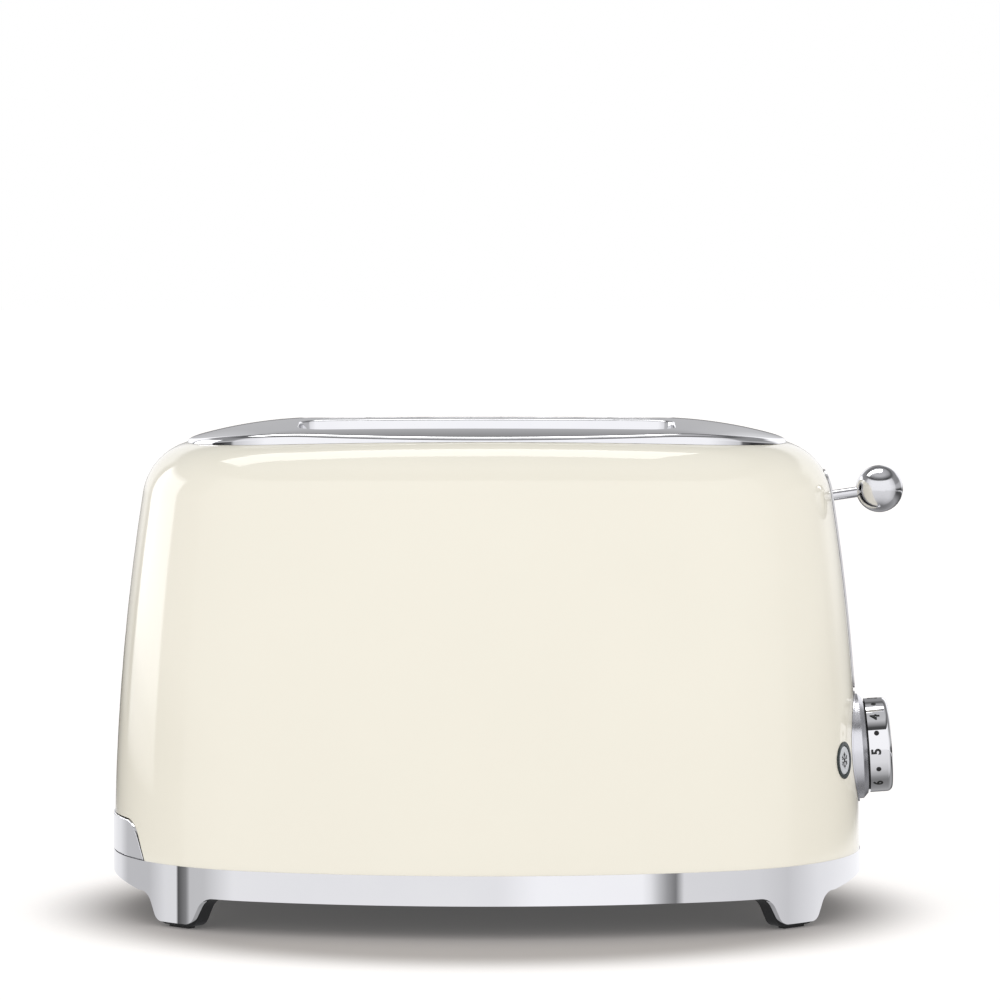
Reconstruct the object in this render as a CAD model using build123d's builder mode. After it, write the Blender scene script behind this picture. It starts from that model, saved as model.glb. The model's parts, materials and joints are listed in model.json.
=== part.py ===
from build123d import *
import math
import os

os.makedirs("parts", exist_ok=True)

# Driving sizes in millimetres and degrees
# X runs from the crumb tray end to the control end, -Y is the front, Z is up
# Base ring and feet, floor at 0
foot_lift = 1.0
chrome_lift = 2.2
ring_bottom = 13.4
ring_top = 25.4
ring_proud = 0.3
ring_wall = 2.4
foot_angle = 46.5
foot_top_width = 31.6
foot_tip_width = 19.8
foot_root_round = 8.0
foot_tip_round = 5.0
foot_thickness = 5.6
end_arch_width = 90.0
end_arch_rise = 3.4
pad_length = 11.0
pad_width = 3.6
pad_thickness = 2.0

# Painted body
body_length = 305.8
body_depth = 195.0
side_radius = 297.0
belly_level = 16.0
bow_radius = 1000.0
body_crest = 196.4
crown_radius = 1800.0
shoulder_radius = 25.0
body_wall = 1.2

# Top plate and bread slots
plate_inset = 30.4
opening_inset = 32.0
plate_rise = 5.2
roof_length = 140.0
roof_radius = 6000.0
roof_end_radius = 190.0
roof_end_sweep = 25.0
roof_cross_radius = 540.0
plate_skin = 1.0
plate_round = 2.5
slot_length = 152.4
slot_width = 37.4
slot_pitch = 52.0
slot_corner = 11.0
slot_round = 0.8
slot_draft = 6.0
lip_depth = 8.9

# Base moulding
pan_lift = 3.6
pan_floor = 2.5
pan_rim_wall = 2.2
lip_start = 20.0
lip_top = 30.0
lip_wall = 1.4
rail_width = 4.0
rail_y = 38.0
boss_radius = 4.5
boss_top = 29.0
boss_y = 54.0
vent_length = 30.0
vent_width = 3.0
vent_pitch = 12.0
screw_radius = 1.5
screw_head_radius = 3.0
screw_head_height = 1.8

# Crumb tray
handle_top = 40.6
handle_top_width = 81.0
handle_foot_width = 96.5
handle_corner = 10.0
handle_wall = 3.0
handle_round = 0.4
tray_width = 86.0
tray_sheet = 0.8
tray_bottom = 26.6
tray_wall_top = 32.5
tray_end_gap = 2.0

# Chassis round the two bread chambers
chassis_length = 164.0
plate_sheet = 1.0
plate_half_width = 60.0
chassis_bottom = 36.0
chassis_top = 182.0
leg_width = 12.0
flange_reach = 14.0
shield_sheet = 0.8
shield_y = 54.0
board_sheet = 1.0
outer_board_y = 50.0
inner_board_y = 3.5
board_bottom = 44.0
board_top = 180.0
ribbon_width = 2.0
ribbon_sheet = 0.4
ribbon_runs = 12
ribbon_margin = 12.0
ribbon_bottom = 56.0
ribbon_pitch = 10.0
guard_rest = 17.0
guard_travel = 9.0
guard_bottom = 50.0
guard_top = 176.0
guard_rail_radius = 1.2
guard_wire_radius = 1.0
guard_wires = 9
guard_wire_pitch = 17.0

# Carriage, lever and magnet
carriage_travel = 70.0
rod_radius = 2.5
rod_inset = 4.0
rod_y = 16.0
rod_fit = 0.08
shelf_sheet = 1.2
shelf_half_width = 24.0
shelf_reach = 28.0
upper_shelf = 180.0
lower_shelf = 37.0
slider_bottom = 152.0
slider_top = 172.0
slider_depth = 14.0
slider_half_width = 22.0
yoke_sheet = 2.0
yoke_gap = 3.0
yoke_bottom = 116.0
yoke_half_width = 30.0
rack_top = 126.0
rack_height = 8.0
rack_sheet = 3.0
finger_length = 10.0
finger_width = 2.0
finger_count = 8
finger_pitch = 18.0
spring_y = 10.0
spring_radius = 3.4
spring_wire = 0.45
spring_pitch = 2.0
lug_height = 2.5
lug_half_width = 4.0
ball_radius = 9.65
ball_x = 160.7
ball_z = 172.6
lever_tilt = 8.4
lever_radius = 2.15
lever_grip = 8.0
slot_low = 93.0
slot_high = 178.4
lever_slot_width = 7.0
trim_width = 2.2
trim_proud = 0.8
trim_liner = 0.8
core_depth = 12.0
core_half_width = 14.0
core_leg = 4.0
coil_depth = 15.0
coil_width = 18.6
coil_height = 32.0
armature_sheet = 2.5
armature_half_width = 12.0

# Browning dial, depths along its own axis from the body's face
dial_z = 66.7
dial_tilt = 4.0
collar_radius = 21.5
collar_front = 3.5
collar_bevel = 1.9
collar_flange_radius = 22.7
collar_flange = 0.5
spigot_radius = 12.0
spigot_depth = 6.0
gap_ring_radius = 18.2
gap_ring = 0.65
knob_radius = 19.3
knob_length = 9.3
knob_round = 2.4
knob_dish_radius = 14.5
knob_dish = 0.6
knob_socket = 6.0
shaft_radius = 3.0
shaft_fit = 0.06
board_clearance = 5.5
control_depth = 7.4
control_width = 16.0
circuit_width = 76.0
circuit_height = 52.0
circuit_below = 28.0
circuit_sheet = 1.6
post_width = 8.0
post_y = 32.0

# Push buttons, depths along their own axes from the body's face
button_y = 34.0
button_z = 64.5
bezel_radius = 7.55
bezel_proud = 0.4
sleeve_radius = 6.7
bezel_depth = 9.0
cap_radius = 5.75
cap_proud = 0.25
cap_round = 0.3
cap_depth = 4.0
button_travel = 1.5
stem_radius = 2.2
stem_depth = 12.0
switch_depth = 16.0

# Cord outlet and terminals
gland_x = -70.0
gland_z = 8.0
gland_radius = 4.3
gland_bore = 3.5
gland_length = 13.0
gland_flange_radius = 4.9
gland_flange = 2.0
outlet_width = 20.0
outlet_inset = 35.5
outlet_length = 24.0
outlet_wall = 1.3
terminal_x = -40.0
terminal_y = 58.0
terminal_length = 20.0
terminal_width = 12.0
terminal_height = 11.0

# Fits
fit = 0.3
slide_fit = 0.2
moulding_fit = 0.25
seat_gap = 0.1
handle_gap = 0.5
slot_play = 0.6

# Levels and reaches that follow from the sizes
ball_reach = ball_x + ball_radius
body_x = (body_length / 2 + ring_proud - ball_reach) / 2
plate_crest = body_crest + plate_rise
lip_level = body_crest - lip_depth
outlet_y = body_depth / 2 - outlet_inset
pan_low = ring_bottom + pan_lift
pan_top = pan_low + pan_floor
pan_grow = ring_proud - ring_wall - moulding_fit
chamber_x = chassis_length / 2
outer_x = chamber_x + plate_sheet
slot_y = slot_pitch / 2
yoke_x = outer_x + yoke_gap
slider_x = yoke_x + yoke_sheet
flange_x = outer_x + flange_reach / 2
tray_end = chamber_x - tray_end_gap
ribbon_length = chassis_length - 2 * ribbon_margin
rod_x = slider_x + rod_inset
magnet_x = slider_x + slider_depth
spring_x = slider_x + slider_depth + lug_half_width
pole_level = slider_bottom - armature_sheet - carriage_travel - fit
knob_back = collar_front + gap_ring + slide_fit
corners = [(-1, -1), (1, -1), (1, 1), (-1, 1)]


def level(z):
    """Horizontal plane at a height, centred on the body."""
    return Plane(origin=(body_x, 0, z))


def end_plane(x):
    """Upright plane facing the control end: local x is Y, local y is Z."""
    return Plane(origin=(body_x + x, 0, 0), x_dir=(0, 1, 0), z_dir=(1, 0, 0))


def side_plane(y):
    """Upright plane facing the front: local x is X, local y is Z."""
    return Plane(origin=(body_x, y, 0), x_dir=(1, 0, 0), z_dir=(0, -1, 0))


def plan_sizes(grow):
    """Half length, half depth, side radius and end radius of the oval plan."""
    a = body_length / 2 + grow
    b = body_depth / 2 + grow
    r = side_radius + grow
    return a, b, r, (2 * r * b - b * b - a * a) / (2 * (r - a))


def lean(z):
    """How far the body's side has leaned in at a height."""
    return bow_radius - math.sqrt(bow_radius ** 2 - (z - belly_level) ** 2)


end_radius = plan_sizes(0)[3]
end_centre = body_length / 2 - end_radius
dial_face = body_length / 2 - lean(dial_z)
board_back = magnet_x + coil_depth / 2 + board_clearance
circuit_back = (dial_face - board_back) / math.cos(math.radians(dial_tilt))
control_front = circuit_back - circuit_sheet - control_depth


def oval(grow):
    """Plan of the body as four tangent arcs, grown by an offset."""
    a, b, r, e = plan_sizes(grow)
    turn = math.atan2(a - e, r - b)
    tx = r * math.sin(turn)
    ty = r * math.cos(turn) - (r - b)
    with BuildSketch() as plan:
        with BuildLine():
            ThreePointArc((tx, -ty), (a, 0), (tx, ty))
            ThreePointArc((tx, ty), (0, b), (-tx, ty))
            ThreePointArc((-tx, ty), (-a, 0), (-tx, -ty))
            ThreePointArc((-tx, -ty), (0, -b), (tx, -ty))
        make_face()
    return plan.sketch


def oval_band(outer, inner, low, high):
    """Upright band between two offsets of the plan."""
    with BuildPart() as band:
        with BuildSketch(level(low)):
            add(oval(outer))
            add(oval(inner), mode=Mode.SUBTRACT)
        extrude(amount=high - low)
    return band.part


def body_form(grow):
    """Solid form of the body, grown by an offset: bowed sides, crowned top, round shoulder."""
    a, b, r, e = plan_sizes(grow)
    cx = a - e
    cy = r - b
    turn = math.degrees(math.atan2(cx, cy))
    bow = bow_radius + grow
    blank_top = body_crest + shoulder_radius
    middle = (ring_top + blank_top) / 2

    def flank_point(radius, z):
        return (radius - bow + math.sqrt(bow ** 2 - (z - belly_level) ** 2), z)

    sectors = [
        (cx, 0, e, 0, turn - 90, 180 - 2 * turn),
        (-cx, 0, e, 0, turn + 90, 180 - 2 * turn),
        (0, -cy, r, cy, 90 - turn, 2 * turn),
        (0, cy, r, cy, 270 - turn, 2 * turn),
    ]
    with BuildPart() as form:
        for x, y, radius, inner, start, sweep in sectors:
            dx = math.cos(math.radians(start))
            dy = math.sin(math.radians(start))
            centre = (body_x + x, y, 0)
            with BuildSketch(Plane(origin=centre, x_dir=(dx, dy, 0), z_dir=(dy, -dx, 0))):
                with BuildLine():
                    flank = ThreePointArc(
                        flank_point(radius, ring_top),
                        flank_point(radius, middle),
                        flank_point(radius, blank_top),
                    )
                    Polyline(flank @ 1, (inner, blank_top), (inner, ring_top), flank @ 0)
                make_face()
            revolve(axis=Axis(centre, (0, 0, 1)), revolution_arc=sweep)
        half = body_length / 2 + 10
        crown = crown_radius + grow
        crest = body_crest + grow
        eaves = crest - crown + math.sqrt(crown ** 2 - half ** 2)
        with BuildSketch(side_plane(0)):
            with BuildLine():
                arch = ThreePointArc((-half, eaves), (0, crest), (half, eaves))
                Polyline(arch @ 1, (half, 0), (-half, 0), arch @ 0)
            make_face()
        extrude(amount=body_depth, both=True, mode=Mode.INTERSECT)
        rim = form.edges().filter_by(lambda edge: edge.center().Z > body_crest - shoulder_radius)
        fillet(rim, shoulder_radius + grow)
    return form.part


def dome_form(drop):
    """Solid below the top surface, lowered by an offset: level along the middle, rolled down at the ends."""
    cross_radius = roof_cross_radius - drop
    sway = math.degrees(math.asin(roof_length / 2 / roof_radius))
    heart = plate_crest - roof_radius
    shift = roof_radius - roof_end_radius
    end_x = shift * math.sin(math.radians(sway))
    end_z = heart + shift * math.cos(math.radians(sway))
    half = body_depth / 2
    stretches = [
        (0, heart, roof_radius, -sway, 2 * sway),
        (end_x, end_z, roof_end_radius, sway, roof_end_sweep),
        (-end_x, end_z, roof_end_radius, -sway - roof_end_sweep, roof_end_sweep),
    ]
    with BuildPart() as dome:
        for x, z, radius, start, sweep in stretches:
            top = radius - drop
            edge = top - cross_radius + math.sqrt(cross_radius ** 2 - half ** 2)
            floor = edge - 2 * shoulder_radius
            pivot = (body_x + x, 0, z)
            turn = math.radians(start)
            way = (math.cos(turn), 0, -math.sin(turn))
            with BuildSketch(Plane(origin=pivot, x_dir=(0, 1, 0), z_dir=way)):
                with BuildLine():
                    arc = ThreePointArc((-half, edge), (0, top), (half, edge))
                    Polyline(arc @ 1, (half, floor), (-half, floor), arc @ 0)
                make_face()
            revolve(axis=Axis(pivot, (0, 1, 0)), revolution_arc=sweep)
    return dome.part


def foot_plane(side_x, side_y):
    """Upright plane through an end centre, facing out along one corner foot."""
    turn = math.radians(foot_angle)
    way = Vector(side_x * math.cos(turn), side_y * math.sin(turn), 0)
    across = Vector(0, 0, 1).cross(way)
    return Plane(origin=(body_x + side_x * end_centre, 0, 0), x_dir=across, z_dir=way)


def feet_form(outer, inner, lowest):
    """Four corner feet between two offsets of the plan, drawn down from the ring's lower edge."""
    half_tip = foot_tip_width / 2
    half_top = foot_top_width / 2
    half_strip = half_top + 2 * foot_root_round
    high = ring_bottom + foot_root_round / 2
    band = oval_band(outer, inner, 0, high)
    feet = []
    for corner in corners:
        with BuildPart() as foot:
            with BuildSketch(foot_plane(*corner)) as profile:
                with BuildLine():
                    Polyline(
                        (-half_strip, high),
                        (-half_strip, ring_bottom),
                        (-half_top, ring_bottom),
                        (-half_tip, lowest),
                        (half_tip, lowest),
                        (half_top, ring_bottom),
                        (half_strip, ring_bottom),
                        (half_strip, high),
                        close=True,
                    )
                make_face()
                fillet(profile.vertices().group_by(Axis.Y)[1].sort_by(Axis.X)[1:3], foot_root_round)
                fillet(profile.vertices().group_by(Axis.Y)[0], foot_tip_round)
            extrude(amount=body_depth)
            add(band, mode=Mode.INTERSECT)
        feet.append(foot.part)
    return feet


def pad_location(corner, z):
    """Place of one foot pad under its foot."""
    reach = end_radius + pan_grow - foot_thickness / 2
    turn = math.radians(foot_angle)
    x = corner[0] * (end_centre + reach * math.cos(turn))
    y = corner[1] * reach * math.sin(turn)
    return Location((body_x + x, y, z), (0, 0, corner[0] * corner[1] * foot_angle))


def handle_profile(gap):
    """Outline of the crumb tray handle seen from the end, grown by a gap."""
    half_foot = handle_foot_width / 2 + gap
    half_top = handle_top_width / 2 + gap
    with BuildSketch() as outline:
        with BuildLine():
            Polyline(
                (-half_foot, ring_top + slide_fit - gap),
                (half_foot, ring_top + slide_fit - gap),
                (half_top, handle_top + gap),
                (-half_top, handle_top + gap),
                close=True,
            )
        make_face()
        fillet(outline.vertices().group_by(Axis.Y)[-1], handle_corner + gap)
    return outline.sketch


def dial_plane(out):
    """Plane square to the dial's axis, a distance out from the body's face."""
    turn = math.radians(dial_tilt)
    way = Vector(math.cos(turn), 0, math.sin(turn))
    face = Vector(body_x + dial_face, 0, dial_z)
    return Plane(origin=face + way * out, x_dir=(0, 1, 0), z_dir=way)


def button_plane(side, out):
    """Plane square to a push button's axis, a distance out from the body's face."""
    reach = end_radius - lean(button_z)
    turn = math.asin(button_y / reach)
    rise = math.asin((button_z - belly_level) / bow_radius)
    flat = math.cos(rise)
    way = Vector(math.cos(turn) * flat, side * math.sin(turn) * flat, math.sin(rise))
    face = Vector(body_x + end_centre + reach * math.cos(turn), side * button_y, button_z)
    return Plane(origin=face + way * out, x_dir=Vector(0, 0, 1).cross(way), z_dir=way)


def lever_plane(out):
    """Plane square to the lever rod, a distance out from the ball's centre."""
    turn = math.radians(lever_tilt)
    way = Vector(math.cos(turn), 0, math.sin(turn))
    return Plane(origin=Vector(body_x + ball_x, 0, ball_z) + way * out, x_dir=(0, 1, 0), z_dir=way)


def lever_slot(grow):
    """Upright slot outline for the lever, seen from the end, grown by an offset."""
    with BuildSketch() as outline:
        with Locations((0, (slot_low + slot_high) / 2)):
            SlotOverall(slot_high - slot_low + 2 * grow, lever_slot_width + 2 * grow, rotation=90)
    return outline.sketch


def keep(piece, name):
    """Label a finished piece and write it out."""
    piece.label = name
    export_step(piece, f"parts/{name}.step")


outer_form = body_form(0)
seat_form = body_form(seat_gap)
trim_form = body_form(trim_proud)

# Painted body shell
with BuildPart() as body_shell:
    add(outer_form)
    add(body_form(-body_wall), mode=Mode.SUBTRACT)
    with BuildSketch(level(lip_level - shoulder_radius)):
        add(oval(-opening_inset))
    extrude(amount=2 * shoulder_radius, mode=Mode.SUBTRACT)
    with BuildSketch(end_plane(chamber_x)):
        add(lever_slot(0))
    extrude(amount=body_length / 2, mode=Mode.SUBTRACT)
    with BuildSketch(dial_plane(-control_front)):
        Circle(spigot_radius + fit)
    extrude(amount=2 * control_front, mode=Mode.SUBTRACT)
    for side in (-1, 1):
        with BuildSketch(button_plane(side, -switch_depth)):
            Circle(sleeve_radius + fit)
        extrude(amount=2 * switch_depth, mode=Mode.SUBTRACT)
    with BuildSketch(end_plane(-outer_x)):
        add(handle_profile(handle_gap))
    extrude(amount=-body_length / 2, mode=Mode.SUBTRACT)
keep(body_shell.part, "body_shell")

# Domed top plate: skin and rim, then a locating skirt and the slot lips below it
plate_base = lip_level - shoulder_radius
throat = (plate_crest - lip_level) * math.tan(math.radians(slot_draft))
plate_blank = plate_crest - plate_base + plate_skin
under = -opening_inset - fit

with BuildPart() as plate_hollow:
    with BuildSketch(level(plate_base)):
        add(oval(-plate_inset - plate_round))
    extrude(amount=plate_blank)
    add(dome_form(plate_skin), mode=Mode.INTERSECT)

with BuildPart() as rim_seat:
    add(seat_form)
    with BuildSketch(level(plate_base)):
        add(oval(under))
    extrude(amount=plate_blank, mode=Mode.SUBTRACT)

def slot_throats(z, grow):
    """The two bread slots as solids that widen upwards from a level, grown by an offset."""
    tight = throat - grow - (z - lip_level) * math.tan(math.radians(slot_draft))
    with BuildPart() as throats:
        with BuildSketch(level(z)):
            with Locations((0, -slot_y), (0, slot_y)):
                RectangleRounded(slot_length - 2 * tight, slot_width - 2 * tight, slot_corner - tight)
        extrude(amount=plate_crest - z + plate_skin, taper=-slot_draft)
    return throats.part


with BuildPart() as plate_under:
    add(oval_band(under, under - plate_skin, lip_level, lip_level + plate_blank))
    add(slot_throats(lip_level, plate_skin))
    add(dome_form(plate_skin / 2), mode=Mode.INTERSECT)

with BuildPart() as top_plate:
    with BuildSketch(level(lip_level)):
        add(oval(-plate_inset))
    extrude(amount=plate_blank)
    add(dome_form(0), mode=Mode.INTERSECT)
    rim = top_plate.edges().filter_by(lambda edge: edge.center().Z > lip_level + plate_skin)
    fillet(rim, plate_round)
    add(plate_hollow.part, mode=Mode.SUBTRACT)
    add(rim_seat.part, mode=Mode.SUBTRACT)
    add(plate_under.part)
    add(slot_throats(lip_level - plate_skin, 0), mode=Mode.SUBTRACT)
    mouths = top_plate.edges(Select.LAST).filter_by(
        lambda edge: edge.center().Z > (lip_level + plate_crest) / 2 + plate_skin)
    fillet(mouths, slot_round)
keep(top_plate.part, "top_plate")

# Chrome base ring with four feet and a lip inside the body
with BuildPart() as base_ring:
    add(oval_band(ring_proud, ring_proud - ring_wall, ring_bottom, ring_top))
    add(feet_form(ring_proud, ring_proud - ring_wall, chrome_lift))
    half_arch = end_arch_width / 2
    with BuildSketch(end_plane(0)):
        with BuildLine():
            arch = ThreePointArc((-half_arch, ring_bottom), (0, ring_bottom + end_arch_rise),
                                 (half_arch, ring_bottom))
            Polyline(arch @ 1, (half_arch, ring_bottom - end_arch_rise),
                     (-half_arch, ring_bottom - end_arch_rise), arch @ 0)
        make_face()
    extrude(amount=body_length, both=True, mode=Mode.SUBTRACT)
    lip = -body_wall - fit
    add(oval_band(lip, lip - lip_wall, lip_start, lip_top))
    with BuildSketch(level(ring_top)):
        with Locations((-body_length / 2, 0)):
            Rectangle(body_length / 2, handle_foot_width + 4 * handle_gap)
    extrude(amount=lip_top, mode=Mode.SUBTRACT)
keep(base_ring.part, "base_ring")

# Black base moulding: floor, rim, foot blocks, tray rails, bosses, posts and cord outlet
board_foot = dial_plane(-circuit_back).from_local_coords(Vector(0, -circuit_below, 0))
vent_spots = [(x * vent_length * 1.3, y * vent_pitch) for x in (-1, 0, 1) for y in (-2, -1, 0, 1, 2)]

with BuildPart() as base_pan:
    with BuildSketch(level(pan_low)):
        add(oval(pan_grow))
    extrude(amount=pan_floor)
    add(oval_band(pan_grow, pan_grow - pan_rim_wall, pan_low, lip_start))
    add(feet_form(pan_grow, pan_grow - foot_thickness, foot_lift))
    with BuildSketch(level(pan_top)):
        with Locations((-chamber_x / 2 + handle_wall, -rail_y), (-chamber_x / 2 + handle_wall, rail_y)):
            Rectangle(tray_end + chamber_x, rail_width)
    extrude(amount=tray_bottom - slide_fit - pan_top)
    with BuildSketch(level(pan_top)):
        with Locations(*[(x * flange_x, y * boss_y) for x, y in corners]):
            Circle(boss_radius)
    extrude(amount=boss_top - pan_top)
    with BuildSketch(level(pan_top)):
        with Locations((board_foot.X - body_x, -post_y), (board_foot.X - body_x, post_y)):
            Rectangle(post_width, post_width)
    extrude(amount=board_foot.Z - seat_gap - pan_top)
    outlet_low = gland_z - gland_radius - outlet_wall
    with BuildSketch(level(outlet_low)):
        with Locations((gland_x, outlet_y - outlet_length / 2)):
            RectangleRounded(outlet_width, outlet_length, 2 * outlet_wall)
    extrude(amount=pan_low - outlet_low)
    with BuildSketch(side_plane(outlet_y)):
        with Locations((gland_x, gland_z)):
            Circle(gland_radius)
    extrude(amount=gland_length, mode=Mode.SUBTRACT)
    well = outlet_length - gland_length - outlet_wall
    with BuildSketch(level(gland_z - gland_bore)):
        with Locations((gland_x, outlet_y - gland_length - well / 2)):
            Rectangle(2 * gland_bore, well)
    extrude(amount=pan_top, mode=Mode.SUBTRACT)
    with BuildSketch(level(0)):
        with Locations(*[(x * flange_x, y * boss_y) for x, y in corners]):
            Circle(screw_radius)
    extrude(amount=boss_top, mode=Mode.SUBTRACT)
    with BuildSketch(level(0)):
        with Locations(*vent_spots):
            SlotOverall(vent_length, vent_width)
    extrude(amount=pan_top, mode=Mode.SUBTRACT)
    with Locations(*[pad_location(corner, pad_thickness / 2) for corner in corners]):
        Box(pad_width, pad_length, pad_thickness, mode=Mode.SUBTRACT)
keep(base_pan.part, "base_pan")

# Soft pads in the foot blocks
with BuildPart() as foot_pads:
    with Locations(*[pad_location(corner, pad_thickness / 2) for corner in corners]):
        Box(pad_width, pad_length, pad_thickness)
keep(foot_pads.part, "foot_pads")

# Screws up through the base into the chassis flanges
with BuildPart() as base_screws:
    with BuildSketch(level(pan_low - screw_head_height)):
        with Locations(*[(x * flange_x, y * boss_y) for x, y in corners]):
            Circle(screw_head_radius)
    extrude(amount=screw_head_height)
    with BuildSketch(level(pan_low)):
        with Locations(*[(x * flange_x, y * boss_y) for x, y in corners]):
            Circle(screw_radius)
    extrude(amount=boss_top + 2 * plate_sheet - pan_low)
keep(base_screws.part, "base_screws")

# Bush for the mains cord
with BuildPart() as cord_gland:
    with BuildSketch(side_plane(outlet_y)):
        with Locations((gland_x, gland_z)):
            Circle(gland_radius)
    extrude(amount=gland_length)
    with BuildSketch(side_plane(outlet_y + gland_flange)):
        with Locations((gland_x, gland_z)):
            Circle(gland_flange_radius)
    extrude(amount=gland_flange)
    with BuildSketch(side_plane(outlet_y + gland_flange)):
        with Locations((gland_x, gland_z)):
            Circle(gland_bore)
    extrude(amount=gland_flange + gland_length, mode=Mode.SUBTRACT)
keep(cord_gland.part, "cord_gland")

# Terminal block for the mains wires
with BuildPart() as terminal_block:
    with BuildSketch(level(pan_top)):
        with Locations((terminal_x, terminal_y)):
            Rectangle(terminal_length, terminal_width)
    extrude(amount=terminal_height)
    with BuildSketch(level(pan_top + terminal_height / 2)):
        with Locations((terminal_x, terminal_y)):
            with GridLocations(terminal_length / 3, 1, 3, 1):
                Circle(terminal_width / 5)
    extrude(amount=terminal_height, mode=Mode.SUBTRACT)
keep(terminal_block.part, "terminal_block")

# Crumb tray and its chrome handle
with BuildPart() as crumb_tray_handle:
    with BuildSketch(end_plane(-outer_x)):
        add(handle_profile(0))
    extrude(amount=-body_length / 2)
    add(oval_band(ring_proud, ring_proud - handle_wall, 0, handle_top + 10), mode=Mode.INTERSECT)
    face = crumb_tray_handle.faces().sort_by(Axis.X)[0]
    fillet(face.edges(), handle_round)
keep(crumb_tray_handle.part, "crumb_tray_handle")

with BuildPart() as crumb_tray:
    span = tray_end + body_length / 2
    with BuildSketch(level(tray_bottom)):
        with Locations((tray_end - span / 2, 0)):
            Rectangle(span, tray_width)
    extrude(amount=tray_wall_top - tray_bottom)
    with BuildSketch(level(tray_bottom + tray_sheet)):
        with Locations((tray_end - tray_sheet - span / 2, 0)):
            Rectangle(span, tray_width - 2 * tray_sheet)
    extrude(amount=tray_wall_top, mode=Mode.SUBTRACT)
    with BuildSketch(level(0)):
        add(oval(ring_proud - handle_wall))
    extrude(amount=lip_level, mode=Mode.INTERSECT)
keep(crumb_tray.part, "crumb_tray")


# Chassis end plates, with slots for the racks and the guards
def end_plate(side):
    """One chassis end plate with its feet; the plate stands outside the bread chambers."""
    near = chamber_x if side > 0 else -outer_x
    with BuildPart() as plate:
        with BuildSketch(end_plane(near)):
            with Locations((0, (chassis_bottom + chassis_top) / 2)):
                Rectangle(2 * plate_half_width, chassis_top - chassis_bottom)
            leg = plate_half_width - leg_width / 2
            with Locations((-leg, (boss_top + chassis_bottom) / 2), (leg, (boss_top + chassis_bottom) / 2)):
                Rectangle(leg_width, chassis_bottom - boss_top)
            low = rack_top - rack_height - carriage_travel
            with Locations((-slot_y, (low + rack_top) / 2), (slot_y, (low + rack_top) / 2)):
                slot_span = rack_top - low + 2 * slot_play
                Rectangle(rack_sheet + 2 * slot_play, slot_span, mode=Mode.SUBTRACT)
            middle = guard_rest - guard_travel / 2
            guard_y = [s * slot_y + g * middle for s in (-1, 1) for g in (-1, 1)]
            with Locations(*[(y, z) for y in guard_y for z in (guard_bottom, guard_top)]):
                rail_slot = 2 * guard_rail_radius + 2 * slot_play
                Rectangle(guard_travel + rail_slot, rail_slot, mode=Mode.SUBTRACT)
        extrude(amount=plate_sheet)
        with BuildSketch(level(boss_top)):
            with Locations((side * flange_x, -leg), (side * flange_x, leg)):
                Rectangle(flange_reach, leg_width)
            with Locations((side * flange_x, -boss_y), (side * flange_x, boss_y)):
                Circle(screw_radius, mode=Mode.SUBTRACT)
        extrude(amount=plate_sheet)
        if side > 0:
            for shelf in (lower_shelf, upper_shelf):
                with BuildSketch(level(shelf)):
                    with Locations((outer_x + shelf_reach / 2, 0)):
                        Rectangle(shelf_reach, 2 * shelf_half_width)
                    with Locations((rod_x, -rod_y), (rod_x, rod_y)):
                        Circle(rod_radius, mode=Mode.SUBTRACT)
                extrude(amount=shelf_sheet)
    return plate.part


keep(end_plate(-1), "tray_end_plate")
keep(end_plate(1), "control_end_plate")

# Heat shields outside the bread chambers, heater boards and their ribbons inside
for name, side in (("front", -1), ("rear", 1)):
    with BuildPart() as heat_shield:
        with BuildSketch(level(board_bottom)):
            with Locations((0, side * shield_y)):
                Rectangle(chassis_length, shield_sheet)
        extrude(amount=chassis_top - board_bottom)
    keep(heat_shield.part, f"{name}_heat_shield")
    for place, y, inward in (("outer", outer_board_y, -side), ("inner", inner_board_y, side)):
        with BuildPart() as heater_board:
            with BuildSketch(level(board_bottom)):
                with Locations((0, side * y)):
                    Rectangle(chassis_length, board_sheet)
            extrude(amount=board_top - board_bottom)
        keep(heater_board.part, f"{name}_{place}_heater_board")
        with BuildPart() as heater_ribbon:
            with BuildSketch(side_plane(side * y + inward * board_sheet / 2)):
                for run in range(ribbon_runs):
                    z = ribbon_bottom + run * ribbon_pitch
                    with Locations((0, z)):
                        Rectangle(ribbon_length, ribbon_width)
                    if run + 1 < ribbon_runs:
                        turn_x = (ribbon_length - ribbon_width) / 2 * (1 if run % 2 else -1)
                        with Locations((turn_x, z + ribbon_pitch / 2)):
                            Rectangle(ribbon_width, ribbon_pitch)
            extrude(amount=-inward * ribbon_sheet)
        keep(heater_ribbon.part, f"{name}_{place}_heater_ribbon")

# Wire guards that close on the bread
for name, side in (("front", -1), ("rear", 1)):
    for place, way in (("outer", side), ("inner", -side)):
        y = side * slot_y + way * guard_rest
        reach = outer_x + guard_rail_radius
        with BuildPart() as bread_guard:
            with BuildSketch(end_plane(-reach)):
                with Locations((y, guard_bottom), (y, guard_top)):
                    Circle(guard_rail_radius)
            extrude(amount=2 * reach)
            with BuildSketch(level(guard_bottom)):
                with Locations((0, y)):
                    with GridLocations(guard_wire_pitch, 1, guard_wires, 1):
                        Circle(guard_wire_radius)
            extrude(amount=guard_top - guard_bottom)
        keep(bread_guard.part, f"{name}_{place}_guard")

# Guide rods between the two shelves
with BuildPart() as guide_rods:
    with BuildSketch(level(lower_shelf - shelf_sheet)):
        with Locations((rod_x, -rod_y), (rod_x, rod_y)):
            Circle(rod_radius)
    extrude(amount=upper_shelf - lower_shelf + 3 * shelf_sheet)
keep(guide_rods.part, "guide_rods")

# Carriage: slider block on the rods, yoke down to the racks, lug for the spring
grip_back = -(ball_x - slider_x - slider_depth + lever_grip) / math.cos(math.radians(lever_tilt))

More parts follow.
